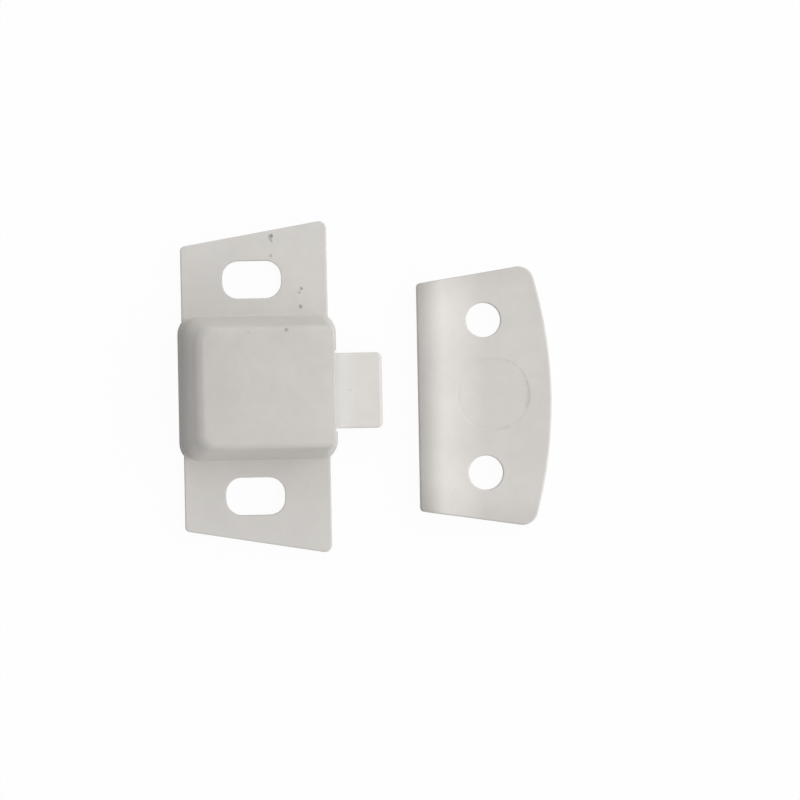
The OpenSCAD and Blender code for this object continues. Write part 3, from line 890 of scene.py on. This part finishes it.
class Surface(Shader):
    """A piece's material, on its Object coordinates in millimetres."""

    def __init__(self, name):
        super().__init__(bpy.data.materials.new(name))
        metres = self.node("ShaderNodeTexCoord", output="Object")
        self.place = self.scaled(metres, (1 / MM, 1 / MM, 1 / MM))

    def scaled(self, place, scale):
        return self.node("ShaderNodeMapping", {}, {"Vector": place, "Scale": scale})

    def axes(self):
        """The X, Y and Z of a place on the piece."""
        split = self.node("ShaderNodeSeparateXYZ", {}, {0: self.place}).socket.node
        return [Wire(self, output) for output in split.outputs]

    def noise(self, size, detail=2.0, roughness=0.5, place=None):
        """Noise from 0 to 1 whose features measure about a size in millimetres."""
        inputs = {"Vector": place or self.place, "Scale": 1 / size, "Detail": detail, "Roughness": roughness}
        return self.node("ShaderNodeTexNoise", {}, inputs)

    def closeness(self, reach, inside):
        """0 on open faces, up to 1 where others lie within a reach: at an edge, or in a hollow corner."""
        settings = {"samples": 8, "inside": inside, "only_local": True}
        return 1 - self.node("ShaderNodeAmbientOcclusion", settings, {"Distance": reach * MM}, output="AO")

    def dirt_mark(self, x, y, half_x, half_y, turn):
        """1 in the middle of a mark, turned by some degrees, and 0 at its edge."""
        moved = self.node("ShaderNodeMapping", {"vector_type": "TEXTURE"}, {
            "Vector": self.place,
            "Location": (x, y, 0),
            "Rotation": (0, 0, radians(turn)),
            "Scale": (half_x, half_y, MARK_REACH),
        })
        return self.vector("LENGTH", moved).fade(1, MARK_CORE)

    def bump(self, height, strength, depth, under=None):
        """A normal raised to a depth in millimetres, over another one if given."""
        inputs = {"Strength": strength, "Distance": depth * MM, "Height": height}
        if under:
            inputs["Normal"] = under
        return self.node("ShaderNodeBump", {}, inputs)

    def finished(self, coloured, rough, normal, others):
        """The material, ended in one surface."""
        inputs = {"Base Color": coloured, "Roughness": rough, "Normal": normal, **others}
        surface = self.node("ShaderNodeBsdfPrincipled", {}, inputs)
        self.node("ShaderNodeOutputMaterial", {}, {"Surface": surface})
        return self.owner


def tint(base, factor=1.0):
    """A colour made darker or lighter, as a socket takes it."""
    return tuple(channel * factor for channel in base) + (1.0,)


def plastic(shader, look, base, painted_light=0.0, dirt_and_shade_masks=()):
    """Satin moulding: mottled, dusty, worn at its edges, with painted shade in its corners, wavy and finely
    grained.

    It is paler by a share of painted light, and each mask in dirt_and_shade_masks darkens it, some with dirt
    and some with painted shade.
    """
    cloud = shader.noise(size=1.6, detail=4.0, roughness=0.6)
    drift = shader.noise(size=9.0, detail=3.0)
    mottle = drift * DRIFT_SHARE + cloud * (1 - DRIFT_SHARE)
    darker, lighter = tint(base, 1 - look.mottle), tint(base, 1 + look.mottle)
    drifting = shader.mixed(mottle.fade(0.25, 0.75), darker, lighter)
    # Painted light: paler towards white by a share
    clean = shader.mixed(painted_light, drifting, tint(WHITE))

    specks = {"Vector": shader.place, "Scale": 1 / DUST_SPACING}
    speck = shader.node("ShaderNodeTexVoronoi", {}, specks, "Distance")
    patch = shader.noise(size=7.0, detail=1.0)
    dirt = speck.fade(0.07, 0.03) * patch.fade(0.5, 0.62) * look.dust
    # The masks add dirt marks and painted shade
    for mask in dirt_and_shade_masks:
        dirt = dirt.most(mask)
    worn = shader.closeness(reach=0.3, inside=True).fade(0.45, 0.75) * look.wear
    # Painted shade: darker where other faces lie near, in inner corners
    shaded_corners = shader.closeness(reach=0.9, inside=False).fade(0.15, 0.6) * look.grime
    edged = shader.mixed(worn, clean, tint(base, factor=1.15))
    coloured = shader.mixed(dirt.most(shaded_corners), edged, tint(look.dirt))

    rough = look.roughness + (cloud - 0.5) * CLOUD_ROUGH + dirt * DIRT_AND_SHADE_ROUGH
    wave = shader.bump(shader.noise(size=5.0, detail=1.0), look.wave, depth=0.1)
    normal = shader.bump(shader.noise(size=0.16), look.grain, depth=0.02, under=wave)
    return shader.finished(coloured, rough, normal, {"Specular IOR Level": look.shine})


def housing_plastic(s, look):
    """Paler where the housing is thin, as painted light, with dirt marks and painted shade darker towards the
    back wall's foot.
    """
    shader = Surface("housing_plastic")
    x, y, z = shader.axes()
    # Painted light: paler at and below the flange's top
    just_above = 1.03 * s.flange_t
    thin = z.fade(just_above, s.flange_t) * look.thin
    upper = z.fade(*UPPER_FACES)
    dirt_and_shade_masks = [shader.dirt_mark(*mark) * upper * darkness for *mark, darkness in DIRT_MARKS]
    # Painted shade: the back wall darker towards its foot
    wall_end = hood_walls(s, s.flange_t)[0]
    near_end = 0.95 * wall_end
    wall_top = hood_walls(s, s.hood_h)[1]
    dirt_and_shade_masks.append(x.size().fade(wall_end, near_end) * y.fade(wall_top, -s.hood_back) * look.foot)
    return plastic(shader, look, look.body, thin, dirt_and_shade_masks)


def tongue_plastic(hood_front, look):
    """Painted light: paler where the tongue leaves the hood, against the hood's shade on it."""
    shader = Surface("tongue_plastic")
    midway = (hood_front + ROCKER_HIGH.y) / 2
    root = shader.axes()[1].fade(midway, hood_front) * look.root
    return plastic(shader, look, look.tongue, root)


def strike_plastic(s, look):
    """Smudged along the mould mark, with painted shade darker towards the strike plate's two ends."""
    shader = Surface("strike_plastic")
    x, y, z = shader.axes()
    middle = STRIKE + Vector((s.mark_x, s.mark_y, 0))
    level = shader.vector("MULTIPLY", shader.place, (1, 1, 0), output="Vector")
    away = shader.vector("DISTANCE", level, middle)
    smudge_half = 1.1 * s.mark_w
    line = (away - s.mark_r).size().fade(smudge_half, 0)
    smudge = shader.noise(size=1.3, detail=3.0).fade(0.4, 0.62, least=0.2)
    near_side = middle.y - 0.7 * s.mark_r
    far_side = y.fade(near_side, middle.y + s.mark_r)
    ring = line * smudge * far_side * z.fade(*UPPER_FACES) * look.ring
    # Painted shade: darker towards the plate's two ends
    lean = tan(s.slant)
    half = s.lip_len / 2 + s.lip_reach * lean
    out = (x - STRIKE.x).size() - (y - STRIKE.y) * lean
    ends = out.fade(half - SHADED_END, half) * look.ends
    return plastic(shader, look, look.strike, dirt_and_shade_masks=[ring, ends])


def drawn_steel(name, base, along, roughness):
    """Drawn steel: fine lines along one axis, and tarnish in patches."""
    shader = Surface(name)
    drawn = shader.scaled(shader.place, [1 / DRAWN_OUT if axis == along else 1 for axis in "XYZ"])
    lines = shader.noise(size=0.12, detail=3.0, place=drawn)
    patch = shader.noise(size=1.4, detail=3.0)
    coloured = shader.mixed(patch.fade(0.35, 0.7), tint(base), tint(base, factor=0.72))
    rough = roughness + (lines - 0.5) * LINE_ROUGH + patch * TARNISH_ROUGH
    normal = shader.bump(lines, strength=0.2, depth=0.02)
    return shader.finished(coloured, rough, normal, {"Metallic": 1.0})


# Stage

# How far the floor lies below the mounting face, so that they don't coincide
FLOOR_DROP = 0.02 * MM


def seen(shader):
    """1 for what the camera sees, also in a mirror or through glass, and 0 for light between pieces."""
    path = shader.node("ShaderNodeLightPath", output="Is Camera Ray")
    ways = path.socket.node.outputs
    return path.most(Wire(shader, ways["Is Glossy Ray"])).most(Wire(shader, ways["Is Transmission Ray"]))


def whitened(shader, surface, amount):
    """A surface under a share of plain white."""
    white = shader.node("ShaderNodeEmission", {}, {"Color": tint(WHITE), "Strength": 1.0})
    return shader.node("ShaderNodeMixShader", {}, {0: amount, 1: surface, 2: white})


def white_floor(look, middle):
    """A floor that looks white, keeps some shadow and returns some light."""
    bm = bmesh.new()
    bmesh.ops.create_grid(bm, x_segments=1, y_segments=1, size=1.5)
    bmesh.ops.translate(bm, verts=bm.verts, vec=(middle.x, middle.y, -FLOOR_DROP))
    floor = as_object(bm, "floor")
    shader = Shader(bpy.data.materials.new("white_floor"))
    view = seen(shader)
    matt_colour = shader.mixed(view, tint(WHITE, look.bounce), tint(WHITE, factor=0.9))
    matt = shader.node("ShaderNodeBsdfDiffuse", {}, {"Color": matt_colour})
    floor_look = whitened(shader, matt, view * (1 - look.shadow))
    shader.node("ShaderNodeOutputMaterial", {}, {"Surface": floor_look})
    floor.data.materials.append(shader.owner)


def soft_room(look):
    """A room that looks white and lights most from the tongue's side and the upper end."""
    world = bpy.data.worlds.new("soft_room")
    bpy.context.scene.world = world
    shader = Shader(world)
    direction = shader.node("ShaderNodeTexCoord", output="Generated")
    level = look.ambient * (1 + shader.vector("DOT_PRODUCT", direction, (-look.upper_slope, look.slope, 0)))
    room = shader.node("ShaderNodeBackground", {}, {"Color": level, "Strength": 1.0})
    shader.node("ShaderNodeOutputWorld", {}, {"Surface": whitened(shader, room, seen(shader))})


def softbox(look, middle):
    """The key light: a disc with the power for its level at its distance."""
    lamp = bpy.data.lights.new("softbox", "AREA")
    lamp.shape = "DISK"
    lamp.size = look.key_size * MM
    distance = look.key_distance * MM
    lean, turn = look.key_lean, look.key_turn
    lamp.energy = look.key * pi ** 2 * distance ** 2 / cos(lean)
    toward = Vector((-sin(lean) * sin(turn), sin(lean) * cos(turn), cos(lean)))
    light = added("softbox", lamp)
    light.location = middle + toward * distance
    light.rotation_euler = toward.to_track_quat("Z", "Y").to_euler()


def camera_above(look, middle, flange_t):
    """A camera that looks straight down, turned as the parts lie in the picture."""
    lens = bpy.data.cameras.new("camera")
    lens.lens = lens.sensor_width * look.camera_height / look.view_width
    lens.clip_start = 0.01
    lens.clip_end = 10
    camera = added("camera", lens)
    camera.location = middle + Vector((0, 0, look.camera_height * MM + flange_t))
    camera.rotation_euler = (0, 0, pi / 2 - look.roll)
    bpy.context.scene.camera = camera


# Operators

class ROCKERCATCH_OT_housing(Operator):
    """Build the flanged hood"""

    bl_idname = "rocker_catch.housing"
    bl_label = "Housing"

    def execute(self, context):
        settings = context.scene.rocker_catch
        sizes = Millimetres(settings.housing)
        material = housing_plastic(sizes, settings.finish)
        finished_piece(housing_mesh(sizes), "moulded_housing", "housing", "catch", material)
        return {"FINISHED"}


class ROCKERCATCH_OT_rocker(Operator):
    """Build the rocking tongue"""

    bl_idname = "rocker_catch.rocker"
    bl_label = "Rocker"

    def execute(self, context):
        settings = context.scene.rocker_catch
        housing = Millimetres(settings.housing)
        bm = rocker_mesh(Millimetres(settings.rocker), housing.peg_r, housing.peg_chamfer)
        material = tongue_plastic(housing.hood_front, settings.finish)
        finished_piece(bm, "rocking_tongue", "rocker", "rocker", material)
        return {"FINISHED"}


class ROCKERCATCH_OT_steel(Operator):
    """Build the pivot pin and the return spring"""

    bl_idname = "rocker_catch.steel"
    bl_label = "Pin and Spring"

    def execute(self, context):
        settings = context.scene.rocker_catch
        look = settings.finish
        sizes = Millimetres(settings.spring)
        bright = drawn_steel("pin_steel", look.steel, "X", roughness=0.24)
        finished_piece(pin_mesh(sizes), "steel_pin", "pivot_pin", "catch", bright)
        plated = drawn_steel("spring_wire", look.zinc, "Y", roughness=0.34)
        bm = spring_mesh(sizes)
        spring = finished_piece(bm, "coil_spring", "return_spring", None, plated)
        heel = Vector((0, SPRING_HIGH.y, PIVOT.z)) * MM
        middle = Vector((0, (SPRING_LOW.y + SPRING_HIGH.y) / 2, PIVOT.z)) * MM
        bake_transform(spring)
        return {"FINISHED"}


class ROCKERCATCH_OT_strike(Operator):
    """Build the strike plate"""

    bl_idname = "rocker_catch.strike"
    bl_label = "Strike Plate"

    def execute(self, context):
        settings = context.scene.rocker_catch
        sizes = Millimetres(settings.strike)
        bm = strike_mesh(sizes)
        material = strike_plastic(sizes, settings.finish)
        finished_piece(bm, "moulded_strike", "strike_plate", "strike", material)
        return {"FINISHED"}


class ROCKERCATCH_OT_stage(Operator):
    """Set the floor, the light and the camera"""

    bl_idname = "rocker_catch.stage"
    bl_label = "Stage"

    def execute(self, context):
        settings = context.scene.rocker_catch
        look = Millimetres(settings.stage)
        context.scene.view_settings.view_transform = "Standard"
        middle = Vector((look.centre_x, look.centre_y, 0)) * MM
        white_floor(look, middle)
        soft_room(look)
        softbox(look, middle)
        camera_above(look, middle, settings.housing.flange_t)
        return {"FINISHED"}


class ROCKERCATCH_PT_panel(Panel):
    """Lists the pieces of the catch and their sizes"""

    bl_label = "Rocker Catch"
    bl_space_type = "VIEW_3D"
    bl_region_type = "UI"
    bl_category = "Rocker Catch"

    def draw(self, context):
        settings = context.scene.rocker_catch
        for operator in OPERATORS:
            self.layout.operator(operator.bl_idname)
        for name in CatchSettings.__annotations__:
            group = getattr(settings, name)
            column = self.layout.column(heading=group.bl_rna.name)
            for prop in group.__annotations__:
                column.prop(group, prop)


GROUPS = (HousingSizes, RockerSizes, SpringSizes, StrikeSizes, Finish, StageLook, CatchSettings)
OPERATORS = (
    ROCKERCATCH_OT_housing,
    ROCKERCATCH_OT_rocker,
    ROCKERCATCH_OT_steel,
    ROCKERCATCH_OT_strike,
    ROCKERCATCH_OT_stage,
)
CLASSES = (*GROUPS, *OPERATORS, ROCKERCATCH_PT_panel)


def register():
    for cls in CLASSES:
        bpy.utils.register_class(cls)
    bpy.types.Scene.rocker_catch = PointerProperty(type=CatchSettings)


def unregister():
    del bpy.types.Scene.rocker_catch
    for cls in reversed(CLASSES):
        bpy.utils.unregister_class(cls)


def main():
    register()
    bpy.ops.rocker_catch.housing()
    bpy.ops.rocker_catch.rocker()
    bpy.ops.rocker_catch.steel()
    bpy.ops.rocker_catch.strike()
    bpy.ops.rocker_catch.stage()


if __name__ == "__main__":
    main()
